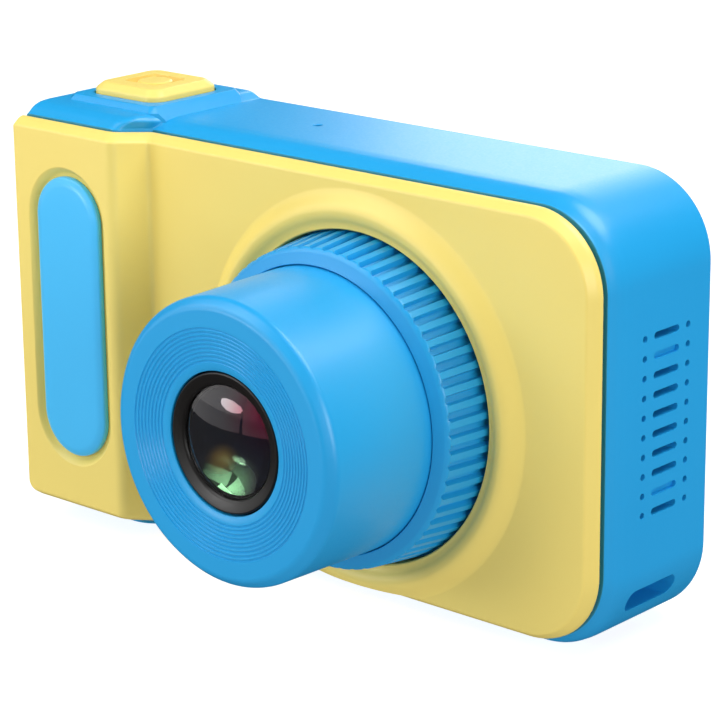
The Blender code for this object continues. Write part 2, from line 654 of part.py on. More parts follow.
def battery_and_speaker():
    battery_y = (FACE + 6.6, FACE + 11.5)
    outline = rounded((7.0, (battery_y[0] + battery_y[1]) / 2), (41.0, battery_y[1] - battery_y[0]), 1.2, 2)
    piece("battery", prism(outline, 9.0, 39.0, "Z"), colour=(0.5, 0.52, 0.55), roughness=0.4, metallic=0.6)
    for name, x, colour in (("battery_lead_red", 24.0, RED), ("battery_lead_black", 21.5, BLACK)):
        wire(name, [(x, battery_y[0] + 2.4, 39.5), (x, battery_y[0] + 2.5, 41.5),
                    (x, battery_y[1] - 0.6, 42.8),
                    (x, BOARD_Y[0] - 0.9, 41.6)], 0.45, colour)
    wall = HALF - WALL - GAP
    frame = rounded((GRILLE_Y, GRILLE_LOW + 9.7), (11.0, 21.0), 2.5, 3)
    speaker = piece("speaker", prism(frame, wall - 4.0, wall, "X"), colour=(0.08, 0.08, 0.09), roughness=0.6)
    cone = rounded((GRILLE_Y, GRILLE_LOW + 9.7), (8.6, 18.6), 2.0, 3)
    cut(speaker, prism(cone, wall - 0.9, wall + 2, "X"))
    for name, z, colour in (("speaker_lead_red", 17.0, RED), ("speaker_lead_black", 19.0, BLACK)):
        y = BOARD_Y[0] - 3.6
        wire(name, [(wall - 4.4, y, z), (wall - 5.8, y, z - 0.6), (30.6, y + 0.4, z - 1.4),
                    (29.4, BOARD_Y[0] - 0.9, z - 2)],
             0.4, colour)
    piece("microphone", disc(2.0, HEIGHT - 3.9, HEIGHT - WALL - GAP, (MIC_X, MIC_Y - 0.9, 0), "Z", 16),
          colour=STEEL, roughness=0.4, metallic=0.8)


def clear_scene():
    for obj in list(bpy.data.objects):
        bpy.data.objects.remove(obj, do_unlink=True)


def build():
    clear_scene()
    front_cover()
    rear_shell()
    grip_inlay()
    casing_screws()
    port_door()
    lens_barrel()
    focus_ring()
    lens_pieces()
    shutter()
    display()
    keys()
    main_board()
    battery_and_speaker()


build()
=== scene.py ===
"""Looks of the children's digital camera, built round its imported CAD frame.

Lengths are in millimetres until a mesh is made. A depth is measured behind the main front face, and a
level of the casing's outline is counted from 0, its full size, through 1, the seam, to 2, the face's edge.
"""
import math

import bmesh
import bpy
from mathutils import Matrix, Vector


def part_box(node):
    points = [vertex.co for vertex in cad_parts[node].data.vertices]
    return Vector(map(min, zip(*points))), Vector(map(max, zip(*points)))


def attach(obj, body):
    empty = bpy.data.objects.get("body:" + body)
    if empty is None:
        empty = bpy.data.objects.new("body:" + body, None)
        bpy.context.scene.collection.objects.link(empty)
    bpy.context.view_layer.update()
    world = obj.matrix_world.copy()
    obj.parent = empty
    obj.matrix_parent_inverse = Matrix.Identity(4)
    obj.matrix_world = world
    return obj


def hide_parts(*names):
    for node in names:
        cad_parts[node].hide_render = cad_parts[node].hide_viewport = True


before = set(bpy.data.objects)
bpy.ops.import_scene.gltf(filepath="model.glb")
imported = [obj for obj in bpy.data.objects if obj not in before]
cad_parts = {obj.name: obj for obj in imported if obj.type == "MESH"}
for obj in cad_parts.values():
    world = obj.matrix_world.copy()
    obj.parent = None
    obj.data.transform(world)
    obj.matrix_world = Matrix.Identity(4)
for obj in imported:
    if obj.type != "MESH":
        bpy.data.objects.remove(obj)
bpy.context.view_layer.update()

MM = 0.001


def box_mm(node):
    """Lowest corner, highest corner and middle of a CAD node."""
    low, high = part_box(node)
    return low / MM, high / MM, (low + high) / (2 * MM)


# ---------------------------------------------------------------- places read from the frame
SHELL_HIGH = box_mm("rear_shell")[1]
LENS = box_mm("front_lens")[2]
BARREL_FRONT = box_mm("lens_barrel")[0].y
INLAY_LOW, INLAY_HIGH, INLAY = box_mm("grip_inlay")
BUTTON_LOW, BUTTON_HIGH, BUTTON = box_mm("shutter_button")
WINDOW_LOW, WINDOW_HIGH, WINDOW = box_mm("display_window")
DOOR_LOW, DOOR_HIGH, DOOR = box_mm("port_door")
MIC = box_mm("microphone")[2]

HALF = SHELL_HIGH.x                      # half the casing's width
BACK = SHELL_HIGH.y                      # Y of the casing's back
FACE = BACK - 20.0                       # Y of the main front face
PEDESTAL_TOP = SHELL_HIGH.z

# ---------------------------------------------------------------- sizes of the casing
WALL = 1.8
HEIGHT = 49.9                            # top of the main body
TOP_LEFT_R = 0.6                         # radii of the outline's corners
LOW_LEFT_R = 1.8
RIGHT_R = 9.3
SEAM_INSET = (0.3, 0.6, 1.1, 1.45)       # left, right, top, bottom
FACE_INSET = (0.6, 1.4, 1.9, 2.4)
COVER_SEAM = 1.9                         # depth of the cover's edge
SHELL_SEAM = 2.45                        # depth of the shell's edge
SHOULDER = 4.2                           # depth where the shell's inner wall starts to lean in to the seam
GRIP_STEP = 4.7                          # how far the grip stands in front of the main face
GRIP_CREST = -24.45                      # X of the crease at the grip's face
GRIP_FOOT = -22.9                        # and at the main face
CREASE_LEAN = 0.7                        # how far the grip's crease moves left per depth
REAR_LEAN = 1.0                          # how far left it lies on the shell, away from the seam
PLATEAU_RISE = 0.72                      # how far the grip's top stands above the main body
SEAM_RISE = 0.55                         # the same at the seam
BOTTOM_RISE = 1.1                        # how far the grip's underside stands above the body's
OPENING_R = 18.8                         # radius of the cover's opening round the lens
GRILLE_ROWS = 10
GRILLE_LOW = 15.4                        # height of the lowest row
GRILLE_PITCH = 2.15
GRILLE_Y = FACE + 12.0
BLIND_ROWS = (1, 8)                      # rows whose slot doesn't go through
STRAP_Y = (FACE + 6.6, FACE + 15.2)
STRAP_Z = (4.6, 7.05)
RING_RIBS = 63
BUTTON_SIDE = 11.0
BUTTON_GAP = 0.2                         # between the shutter button and its hole
KEY_FLANGE = 0.6                         # how far a key's flange stands out behind its cap
KEY_GAP = 0.25                           # between a key's cap and its hole
SOFT_ANGLE = 30                          # faces that meet at a smaller angle are shaded as one


# ---------------------------------------------------------------- camera, light and floor
CAMERA_PLACE = (207.14, -220.66, 117.90)
CAMERA_TURN = (41.81, 16.64, -0.61)      # azimuth, elevation and roll, in degrees
FOCAL_LENGTH = 142.24
SENSOR_WIDTH = 36.0
STAGE_RADIUS = 3000.0


def place_camera():
    azimuth, elevation, roll = (math.radians(turn) for turn in CAMERA_TURN)
    forward = Vector((-math.sin(azimuth) * math.cos(elevation), math.cos(azimuth) * math.cos(elevation),
                      -math.sin(elevation)))
    level_right = forward.cross(Vector((0, 0, 1))).normalized()
    right = Matrix.Rotation(-roll, 3, forward) @ level_right
    up = right.cross(forward)
    camera = bpy.data.objects.new("camera", bpy.data.cameras.new("camera"))
    bpy.context.collection.objects.link(camera)
    turn = Matrix((right, up, -forward)).transposed().to_4x4()
    camera.matrix_world = Matrix.Translation(Vector(CAMERA_PLACE) * MM) @ turn
    camera.data.lens = FOCAL_LENGTH
    camera.data.sensor_width = SENSOR_WIDTH
    camera.data.clip_start = 0.01
    bpy.context.scene.camera = camera


def soft_light(name, place, target, size, power, size_y=None):
    """White area light whose place and size are in metres; it is square unless size_y is given."""
    data = bpy.data.lights.new(name, "AREA")
    data.shape = "RECTANGLE"
    data.size = size
    data.size_y = size_y or size
    data.energy = power
    light = bpy.data.objects.new(name, data)
    light.location = place
    light.rotation_euler = (Vector(target) - Vector(place)).to_track_quat("-Z", "Y").to_euler()
    bpy.context.collection.objects.link(light)
    return light


def aim(start, azimuth, elevation, distance):
    """Place at a distance from start; azimuth 0 is straight in front of the part, 90 towards high X."""
    across, up = math.radians(azimuth), math.radians(elevation)
    way = Vector((math.sin(across) * math.cos(up), -math.cos(across) * math.cos(up), math.sin(up)))
    return start + way * distance


def studio():
    world = bpy.data.worlds.new("studio")
    bpy.context.scene.world = world
    world.use_nodes = True
    sky = world.node_tree.nodes["Background"]
    sky.inputs["Color"].default_value = (1.0, 1.0, 1.0, 1.0)
    sky.inputs["Strength"].default_value = 0.22
    world.cycles_visibility.glossy = False
    middle = (0, 0, 0.025)
    lens = Vector((LENS.x, BARREL_FRONT, LENS.z)) * MM
    soft_light("key_right", aim(lens, -8, 34, 0.34), lens, 0.26, 0.15, size_y=0.12)
    soft_light("key_left", aim(lens, -60, 33, 0.34), lens, 0.2, 0.19, size_y=0.12)
    soft_light("upper", (-0.12, -0.16, 0.3), middle, 0.16, 0.3)
    soft_light("top", (0.12, 0.1, 0.3), middle, 0.18, 0.72)
    soft_light("side", (0.42, -0.13, 0.13), middle, 0.2, 0.82)
    soft_light("rim", (-0.19, 0.42, 0.2), middle, 0.27, 0.66)
    bounce = soft_light("bounce", (0, 0, -0.35), middle, 3.0, 14.0)
    bounce.visible_glossy = False
    bounce.visible_transmission = False
    soft_light("window", aim(lens, -52, 7, 0.5), lens, 0.54, 0.37, size_y=0.28)
    soft_light("pane", aim(lens, -11, 4, 0.5), lens, 0.19, 0.15, size_y=0.21)
    glint = soft_light("glint", aim(lens, -34, 7, 0.45), lens, 0.17, 0.26, size_y=0.055)
    glint.data.shape = "ELLIPSE"
    bpy.context.scene.view_settings.view_transform = "Standard"
    floor = mesh_object("floor", [flat_square(STAGE_RADIUS)])
    floor.data.materials.append(glowing("floor_white", 0.35, 0.87))
    dome = mesh_object("backdrop", [turned(quarter(STAGE_RADIUS, 16), (0, 0, 0), "Z", 48, closed=False)])
    dome.data.materials.append(glowing("backdrop_white", 0.0, 1.0))
    for obj in (floor, dome):
        obj.visible_glossy = False
        obj.visible_diffuse = False
        obj.visible_shadow = False
        obj.visible_transmission = False


def glowing(name, grey, strength):
    """White that gives out light of its own, for the floor and the backdrop."""
    made = plain(name, (grey, grey, grey), 0.9)
    shader = made.node_tree.nodes["Principled BSDF"]
    shader.inputs["Specular IOR Level"].default_value = 0.0
    shader.inputs["Emission Color"].default_value = (1.0, 1.0, 1.0, 1.0)
    shader.inputs["Emission Strength"].default_value = strength
    return made


def quarter(radius, steps):
    """Points (radius, height) of a quarter circle from the floor up to the axis."""
    turns = [math.radians(90 * k / steps) for k in range(steps + 1)]
    return [(radius * math.cos(turn), radius * math.sin(turn)) for turn in turns]


def flat_square(half):
    return [(-half, -half, 0), (half, -half, 0), (half, half, 0), (-half, half, 0)], [(0, 1, 2, 3)]


# ---------------------------------------------------------------- shapes
def turned(profile, centre, axis, steps, closed=True):
    """Outline of (radius, height) points turned about an axis; if closed, its end is joined to its start."""
    verts, rings = [], []
    for radius, height in profile:
        ring = []
        for i in range(steps if radius > 1e-6 else 1):
            angle = math.tau * i / steps
            a, b = radius * math.cos(angle), radius * math.sin(angle)
            offset = {"X": (height, a, b), "Y": (a, height, b), "Z": (a, b, height)}[axis]
            ring.append(len(verts))
            verts.append(tuple(c + o for c, o in zip(centre, offset)))
        rings.append(ring)
    faces = []
    for k, ring in enumerate(rings if closed else rings[:-1]):
        after = rings[(k + 1) % len(rings)]
        for i in range(steps):
            j = (i + 1) % steps
            if len(ring) > 1 and len(after) > 1:
                faces.append((ring[i], ring[j], after[j], after[i]))
            elif len(ring) > 1:
                faces.append((ring[i], ring[j], after[0]))
            elif len(after) > 1:
                faces.append((ring[0], after[j], after[i]))
    return verts, faces


def stack(loops):
    """Solid through loops with the same number of points, closed by a flat face at each end."""
    n = len(loops[0])
    verts = [point for loop in loops for point in loop]
    faces = [tuple(range(n)), tuple(range(len(verts) - n, len(verts)))]
    for k in range(len(loops) - 1):
        faces += [(k * n + i, k * n + (i + 1) % n, k * n + n + (i + 1) % n, k * n + n + i) for i in range(n)]
    return verts, faces


def upright(outline, height, axis):
    """Places a flat outline at a height along an axis; its points hold the two other coordinates."""
    place = {"X": lambda a, b: (height, a, b),
             "Y": lambda a, b: (a, height, b),
             "Z": lambda a, b: (a, b, height)}[axis]
    return [place(a, b) for a, b in outline]


def prism(outline, low, high, axis):
    """Solid with a flat outline, from low to high along an axis."""
    return stack([upright(outline, low, axis), upright(outline, high, axis)])


def block(low, high):
    """Box between its lowest and its highest corner."""
    outline = [(low[0], low[1]), (high[0], low[1]), (high[0], high[1]), (low[0], high[1])]
    return prism(outline, low[2], high[2], "Z")


def rounded(centre, size, radius, steps=8):
    """Rounded rectangle; a radius of half the width gives a pill."""
    points = []
    for corner, (sx, sy) in enumerate(((1, 1), (-1, 1), (-1, -1), (1, -1))):
        cx = centre[0] + sx * (size[0] / 2 - radius)
        cy = centre[1] + sy * (size[1] / 2 - radius)
        for i in range(steps + 1):
            angle = math.radians(90 * (corner + i / steps))
            points.append((cx + radius * math.cos(angle), cy + radius * math.sin(angle)))
    return [p for p, q in zip(points, points[1:] + points[:1]) if math.dist(p, q) > 1e-6]


def disc(radius, low, high, centre, axis, steps):
    return turned([(0, low), (radius, low), (radius, high), (0, high)], centre, axis, steps)


def soften(points, radius, steps=5):
    """Rounds the inner corners of a flat run of points with short curves."""
    run = [points[0]]
    for earlier, point, later in zip(points, points[1:], points[2:]):
        here = Vector(point)
        before, after = Vector(earlier) - here, Vector(later) - here
        reach = min(radius, before.length * 0.45, after.length * 0.45)
        start, end = here + before.normalized() * reach, here + after.normalized() * reach
        for k in range(steps + 1):
            t = k / steps
            run.append(tuple(start * (1 - t) ** 2 + here * 2 * t * (1 - t) + end * t * t))
    return run + [points[-1]]


# ---------------------------------------------------------------- the casing's outline
def ease(t):
    """Soft step from 0 to 1."""
    t = min(max(t, 0.0), 1.0)
    return t * t * (3 - 2 * t)


def crease_run():
    """Points (X, share of the grip's step) across the crease, rounder at its crest than at its foot."""
    middle = ((GRIP_CREST + GRIP_FOOT) / 2, GRIP_STEP / 2)
    crest = soften([(GRIP_CREST - 3.0, 0.0), (GRIP_CREST, 0.0), middle], 1.3, 14)
    foot = soften([middle, (GRIP_FOOT, GRIP_STEP), (GRIP_FOOT + 3.0, GRIP_STEP)], 0.5, 8)
    return [(x, 1 - down / GRIP_STEP) for x, down in crest[1:-1] + foot[1:-1]]


def inset_at(step):
    """Insets left, right, top and bottom; what a step has beyond 2 is added to each in millimetres."""
    if step <= 1:
        return tuple(s * max(step, 0.0) for s in SEAM_INSET)
    if step <= 2:
        return tuple(s + (f - s) * (step - 1) for s, f in zip(SEAM_INSET, FACE_INSET))
    return grown(FACE_INSET, step - 2)


def grown(inset, extra):
    return tuple(side + extra for side in inset)


def columns(inset, lean, rise):
    """Columns of the outline from left to right: (X, share of the grip's step, upper Z, lower Z)."""
    left, right, top, bottom = inset
    low_x, high_x = -HALF + left, HALF - right
    upper_r, lower_r = max(TOP_LEFT_R - left, 0.3), max(LOW_LEFT_R - left, 0.3)
    right_r = max(RIGHT_R - right, 0.4)
    left_steps, right_steps = 20, 24
    places = []
    for k in range(left_steps + 1):
        across = lower_r * (1 - math.cos(math.radians(90 * k / left_steps)))
        drops = [r - math.sqrt(max(r * r - max(r - across, 0.0) ** 2, 0.0)) for r in (upper_r, lower_r)]
        places.append((low_x + across, 1.0, *drops))
    places += [(x - lean, share, 0.0, 0.0) for x, share in crease_run()]
    for k in range(right_steps + 1):
        angle = math.radians(90 * k / right_steps)
        drop = right_r * (1 - math.cos(angle))
        places.append((high_x - right_r * (1 - math.sin(angle)), 0.0, drop, drop))
    return [(x, share, HEIGHT + rise * share - top - upper, BOTTOM_RISE * share + bottom + lower)
            for x, share, upper, lower in places]


def crease_lean(depth):
    """How far left the crease lies at a depth: most at the shell's seam, a little less behind it."""
    most = CREASE_LEAN * SHELL_SEAM
    return min(CREASE_LEAN * depth, most - (most - REAR_LEAN) * ease((depth - SHELL_SEAM) / 1.6))


def level(inset, depth=None, flat=None, rise=PLATEAU_RISE):
    """Closed loop of the casing, a depth behind the front face, or flat at one Y."""
    lean = REAR_LEAN if depth is None else crease_lean(depth)
    row = columns(inset, lean, rise)
    depths = [flat if flat is not None else FACE - GRIP_STEP * share + depth for _, share, _, _ in row]
    upper = [(x, y, top) for (x, _, top, _), y in zip(row, depths)]
    lower = [(x, y, bottom) for (x, _, _, bottom), y in zip(row, depths)]
    return upper + lower[::-1]


def outer_level(step, depth):
    """Loop of the casing's outside at a step from full size through the seam to the face's edge."""
    rise = PLATEAU_RISE + (SEAM_RISE - PLATEAU_RISE) * min(max(step, 0.0), 1.0)
    return level(inset_at(step), depth, rise=rise)


def loft(levels):
    """Solid through a list of casing loops, closed at both ends by upright strips."""
    n = len(levels[0])
    verts = [point for loop in levels for point in loop]
    faces = []
    for k in range(len(levels) - 1):
        for i in range(n):
            j = (i + 1) % n
            faces.append((k * n + i, k * n + j, k * n + n + j, k * n + n + i))
    last = (len(levels) - 1) * n
    for start in (0, last):
        for i in range(n // 2 - 1):
            faces.append((start + i, start + i + 1, start + n - 2 - i, start + n - 1 - i))
    return verts, faces


# ---------------------------------------------------------------- objects
def mesh_object(name, shapes):
    """Object with one mesh made of shapes, each of them its points in millimetres and its faces."""
    bm = bmesh.new()
    for verts, faces in shapes:
        made = [bm.verts.new(Vector(v) * MM) for v in verts]
        for face in faces:
            bm.faces.new([made[i] for i in face])
    bmesh.ops.recalc_face_normals(bm, faces=bm.faces)
    mesh = bpy.data.meshes.new(name)
    bm.to_mesh(mesh)
    bm.free()
    mesh.shade_smooth()
    mesh.set_sharp_from_angle(angle=math.radians(SOFT_ANGLE))
    obj = bpy.data.objects.new(name, mesh)
    bpy.context.collection.objects.link(obj)
    return obj


def carve(obj, operation, *shapes):
    """Adds shapes to an object, or takes them away, and keeps the result as its mesh."""
    combine(obj, operation, mesh_object("tool", shapes))


def combine(obj, operation, tool):
    """Adds the tool to an object, or takes it away; the tool itself goes."""
    step = obj.modifiers.new("carve", "BOOLEAN")
    step.operation = operation
    step.object = tool
    settle(obj)
    bpy.data.objects.remove(tool, do_unlink=True)


def settle(obj):
    """Applies an object's modifiers."""
    bpy.context.view_layer.update()
    result = bpy.data.meshes.new_from_object(obj.evaluated_get(bpy.context.evaluated_depsgraph_get()))
    obj.modifiers.clear()
    obj.data = result


def even_shading(obj, angle=SOFT_ANGLE):
    """Keeps flat faces flat next to their rounded edges."""
    obj.data.shade_smooth()
    obj.data.set_sharp_from_angle(angle=math.radians(angle))
    weighted = obj.modifiers.new("weighted", "WEIGHTED_NORMAL")
    weighted.keep_sharp = True
    weighted.weight = 80


def finish_piece(obj, body, material, node):
    """Gives an object its only material and says what it rides on and the CAD node it replaces."""
    obj.data.materials.clear()
    obj.data.materials.append(material)
    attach(obj, body)
    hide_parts(node)


def second_finish(obj, material, wanted):
    """Gives another material to the faces whose centre, in millimetres, and direction are wanted."""
    obj.data.materials.append(material)
    for face in obj.data.polygons:
        if wanted(face.center / MM, face.normal):
            face.material_index = 1


# ---------------------------------------------------------------- materials
def plain(name, colour, roughness):
    made = bpy.data.materials.new(name)
    made.use_nodes = True
    shader = made.node_tree.nodes["Principled BSDF"]
    shader.inputs["Base Color"].default_value = (*colour, 1.0)
    shader.inputs["Roughness"].default_value = roughness
    return made


def moulded(name, colour, roughness, deep, grain=0.03, scale=3500.0):
    """Moulded plastic: colour that drifts slightly towards deep, uneven gloss and a fine grain."""
    made = plain(name, colour, roughness)
    tree = made.node_tree
    nodes, links = tree.nodes, tree.links
    shader = nodes["Principled BSDF"]
    place = nodes.new("ShaderNodeTexCoord")
    drift = nodes.new("ShaderNodeTexNoise")
    drift.inputs["Scale"].default_value = 45.0
    drift.inputs["Detail"].default_value = 3.0
    links.new(place.outputs["Object"], drift.inputs["Vector"])
    mix = nodes.new("ShaderNodeMix")
    mix.data_type = "RGBA"
    mix.inputs["A"].default_value = (*colour, 1.0)
    mix.inputs["B"].default_value = (*deep, 1.0)
    spread = nodes.new("ShaderNodeMapRange")
    spread.inputs["From Min"].default_value = 0.3
    spread.inputs["From Max"].default_value = 0.7
    spread.inputs["To Max"].default_value = 0.35
    links.new(drift.outputs["Fac"], spread.inputs["Value"])
    links.new(spread.outputs["Result"], mix.inputs["Factor"])
    links.new(mix.outputs["Result"], shader.inputs["Base Color"])
    fine = nodes.new("ShaderNodeTexNoise")
    fine.inputs["Scale"].default_value = scale
    fine.inputs["Detail"].default_value = 2.0
    links.new(place.outputs["Object"], fine.inputs["Vector"])
    unevenness = 0.04 if grain else 0.01
    gloss = nodes.new("ShaderNodeMapRange")
    gloss.inputs["From Min"].default_value = 0.3
    gloss.inputs["From Max"].default_value = 0.7
    gloss.inputs["To Min"].default_value = roughness - unevenness
    gloss.inputs["To Max"].default_value = roughness + unevenness
    links.new(fine.outputs["Fac"], gloss.inputs["Value"])
    links.new(gloss.outputs["Result"], shader.inputs["Roughness"])
    bump = nodes.new("ShaderNodeBump")
    bump.inputs["Strength"].default_value = grain
    bump.inputs["Distance"].default_value = 0.0002
    links.new(fine.outputs["Fac"], bump.inputs["Height"])
    links.new(bump.outputs["Normal"], shader.inputs["Normal"])
    return made


def metal(name, colour, roughness, deep):
    """Plated metal, only partly metallic so that it stays light where it reflects a dark surround."""
    made = moulded(name, colour, roughness, deep, grain=0.004)
    made.node_tree.nodes["Principled BSDF"].inputs["Metallic"].default_value = 0.7
    return made


def srgb(*levels):
    """Linear colour from 8-bit display values."""
    return tuple(level / 255 / 12.92 if level <= 10 else ((level / 255 + 0.055) / 1.055) ** 2.4
                 for level in levels)


YELLOW = moulded("yellow_plastic", srgb(246, 223, 122), 0.38, srgb(242, 214, 110), grain=0.01)
BLUE = moulded("blue_plastic", srgb(32, 163, 226), 0.36, srgb(26, 156, 220), grain=0.01)
INLAY_BLUE = moulded("inlay_plastic", srgb(74, 194, 252), 0.3, srgb(64, 186, 248), grain=0.0, scale=500.0)
# Darker blue painted on the shell's front lip: painted shade in the seam between cover and shell.
SEAM_SHADE_BLUE = moulded("seam_painted_shade", srgb(38, 138, 168), 0.5, srgb(32, 130, 160), grain=0.0)
# Deeper yellow painted on the sunk floor round the button's emblem and in the keys' marks: painted shade and
# bounce light in these recesses.
RECESS_SHADE_YELLOW = moulded("recess_painted_shade", srgb(232, 196, 90), 0.45, srgb(226, 186, 78), grain=0.0)
BLACK = moulded("black_plastic", srgb(28, 26, 25), 0.36, srgb(22, 21, 20), grain=0.005)
DARK = moulded("dark_moulding", srgb(18, 18, 18), 0.5, srgb(12, 12, 12))
KEY_YELLOW = moulded("key_plastic", srgb(246, 226, 126), 0.4, srgb(240, 214, 110))
RUBBER = moulded("soft_rubber", srgb(44, 158, 222), 0.6, srgb(38, 150, 214), grain=0.06)
SMOKED = moulded("window_plastic", srgb(10, 10, 12), 0.06, srgb(8, 8, 10), grain=0.0)
SCREEN = moulded("display_glass", (0.02, 0.02, 0.03), 0.15, (0.012, 0.012, 0.02), grain=0.0)
BOARD = moulded("circuit_board", (0.015, 0.1, 0.045), 0.4, (0.01, 0.07, 0.03))
FILM = moulded("flex_film", (0.5, 0.24, 0.05), 0.35, (0.42, 0.19, 0.04))
RED_WIRE = moulded("red_wire", (0.5, 0.02, 0.015), 0.45, (0.42, 0.015, 0.01))
FILTER = moulded("filter_glass", (0.12, 0.38, 0.4), 0.08, (0.1, 0.32, 0.36), grain=0.0)
STEEL = metal("steel", (0.62, 0.62, 0.64), 0.28, (0.52, 0.52, 0.55))
FOIL = metal("battery_foil", (0.6, 0.61, 0.63), 0.4, (0.5, 0.51, 0.54))


def blot(made, middle, reach, strength=1.0):
    """Soft round patch on a lens: strength at its middle, 0 beyond its reach, which is in millimetres."""
    nodes, links = made.node_tree.nodes, made.node_tree.links
    place = nodes.new("ShaderNodeTexCoord")
    away = nodes.new("ShaderNodeVectorMath")
    away.operation = "DISTANCE"
    away.inputs[1].default_value = Vector(middle) * MM
    links.new(place.outputs["Object"], away.inputs[0])
    fade = nodes.new("ShaderNodeMapRange")
    fade.interpolation_type = "SMOOTHERSTEP"
    fade.inputs["From Min"].default_value = 0.0
    fade.inputs["From Max"].default_value = reach * MM
    fade.inputs["To Min"].default_value = strength
    fade.inputs["To Max"].default_value = 0.0
    links.new(away.outputs["Value"], fade.inputs["Value"])
    return fade.outputs["Result"]


def patched(made, base, patches):
    """Colour that starts as base and turns to each patch's colour inside its blot."""
    nodes, links = made.node_tree.nodes, made.node_tree.links
    before = None
    for colour, middle, reach in patches:
        mix = nodes.new("ShaderNodeMix")
        mix.data_type = "RGBA"
        mix.inputs["A"].default_value = (*base, 1.0)
        mix.inputs["B"].default_value = (*colour, 1.0)
        if before:
            links.new(before, mix.inputs["A"])
        links.new(blot(made, middle, reach), mix.inputs["Factor"])
        before = mix.outputs["Result"]
    return before


def lens_point(across, up, depth):
    """Place on the lens, in millimetres from its axis and behind the barrel's front."""
    return LENS.x + across, BARREL_FRONT + depth, LENS.z + up


def front_glass():
    """Clear glass whose reflection is tinted by a painted patch, from neutral to magenta towards its upper
    right: a painted reflection colour fixed on the lens.
    """
    made = plain("front_glass", (1.0, 1.0, 1.0), 0.015)
    shader = made.node_tree.nodes["Principled BSDF"]
    shader.inputs["Transmission Weight"].default_value = 1.0
    shader.inputs["IOR"].default_value = 1.5
    shader.inputs["Specular IOR Level"].default_value = 0.9
    # Painted reflection: the magenta patch tints the glass's reflection at a fixed place on the lens.
    magenta = ((1.0, 0.06, 0.2), lens_point(5.5, 4.0, 1.0), 7.0)
    tint = patched(made, (1.0, 0.95, 0.97), [magenta])
    made.node_tree.links.new(tint, shader.inputs["Specular Tint"])
    return made


def inner_glass():
    """Dark inner element: blue-black, with a golden and a crimson patch painted into its colour as painted
    reflections; a painted patch keeps its green-tinted reflection to the lower left.
    """
    blue_black = (0.006, 0.009, 0.02)
    made = plain("inner_glass", blue_black, 0.04)
    shader = made.node_tree.nodes["Principled BSDF"]
    shader.inputs["IOR"].default_value = 1.9
    shader.inputs["Specular Tint"].default_value = (0.45, 1.0, 0.5, 1.0)
    links = made.node_tree.links
    # Painted reflection: the green-tinted reflection is strong only inside this patch at the lower left.
    links.new(blot(made, lens_point(-1.1, -6.5, 2.6), 5.2, 2.4), shader.inputs["Specular IOR Level"])
    # Golden and crimson patches painted into the colour stand for reflections.
    golden = ((0.27, 0.17, 0.04), lens_point(-2.6, -3.1, 3.6), 2.3)
    crimson = ((0.2, 0.004, 0.025), lens_point(5.0, 3.6, 3.0), 3.6)
    links.new(patched(made, blue_black, [golden, crimson]), shader.inputs["Base Color"])
    return made


FRONT_GLASS = front_glass()
INNER_GLASS = inner_glass()


# ---------------------------------------------------------------- front cover
def collar():
    """Swelling round the lens opening; it fades into the face at its outer side."""
    crest, foot, height = 20.8, 23.5, 1.5
    steps = 12
    profile = [(18.2, 1.0), (18.2, -0.8), (19.4, -0.85), (19.8, -1.1), (20.25, -1.4)]
    for k in range(steps + 1):
        t = k / steps
        profile.append((crest + (foot - crest) * t, -height * (1 + math.cos(math.pi * t)) / 2 + 0.03))
    profile.append((foot, 1.0))
    return turned([(r, FACE + d) for r, d in profile], (LENS.x, 0, LENS.z), "Y", 192)


def front_cover():
    """Face with a rounded edge, a groove for the inlay, a swelling and an opening for the lens."""
    edge = soften([(2.6, 0.0), (2.0, 0.0), (1.15, 1.2), (1.0, COVER_SEAM), (1.7, COVER_SEAM)], 0.3)
    levels = [outer_level(s, d) for s, d in edge]
    levels.append(level(grown(SEAM_INSET, WALL), COVER_SEAM, rise=SEAM_RISE))
    obj = mesh_object("front_cover_moulding", [loft(levels)])
    carve(obj, "DIFFERENCE", groove_tool())
    swell = mesh_object("swell", [collar()])
    below_face = block((LENS.x - 20, FACE - 5, -5), (LENS.x + 20, FACE + 5, FACE_INSET[3] + 0.1))
    carve(swell, "DIFFERENCE", below_face)
    combine(obj, "UNION", swell)
    mouth = [(0, FACE - 5), (OPENING_R + 0.15, FACE - 5), (OPENING_R + 0.15, FACE - 0.85),
             (OPENING_R, FACE - 0.7), (OPENING_R, FACE + 5), (0, FACE + 5)]
    carve(obj, "DIFFERENCE", turned(mouth, (LENS.x, 0, LENS.z), "Y", 192))
    even_shading(obj)
    finish_piece(obj, "body", YELLOW, "front_cover")


def groove_tool():
    """Soft dished groove round the grip inlay."""
    front = FACE - GRIP_STEP
    depth, spread, steps = 0.9, 2.0, 8
    width, height = INLAY_HIGH.x - INLAY_LOW.x + 0.6, INLAY_HIGH.z - INLAY_LOW.z + 0.6
    rows = [(3.2, -2)]
    for k in range(steps + 1):
        t = k / steps
        rows.append((spread * (1 - t), depth * ease(t) - 0.02))
    loops = []
    for grow, y in rows:
        outline = rounded((INLAY.x, INLAY.z), (width + grow, height + grow), (width + grow) / 2, 16)
        loops.append(upright(outline, front + y, "Y"))
    return stack(loops)


def grip_inlay():
    front = FACE - GRIP_STEP
    edge = soften([(0, 0.8), (0, 0.22), (0.85, -0.12), (2.4, -0.15)], 0.5, 6)
    width, height = INLAY_HIGH.x - INLAY_LOW.x, INLAY_HIGH.z - INLAY_LOW.z
    loops = []
    for inset, y in edge + [(3.0, -0.15)]:
        size = (width - 2 * inset, height - 2 * inset)
        loops.append(upright(rounded((INLAY.x, INLAY.z), size, size[0] / 2, 16), front + y, "Y"))
    obj = mesh_object("grip_inlay_pill", [stack(loops)])
    even_shading(obj)
    finish_piece(obj, "body", INLAY_BLUE, "grip_inlay")


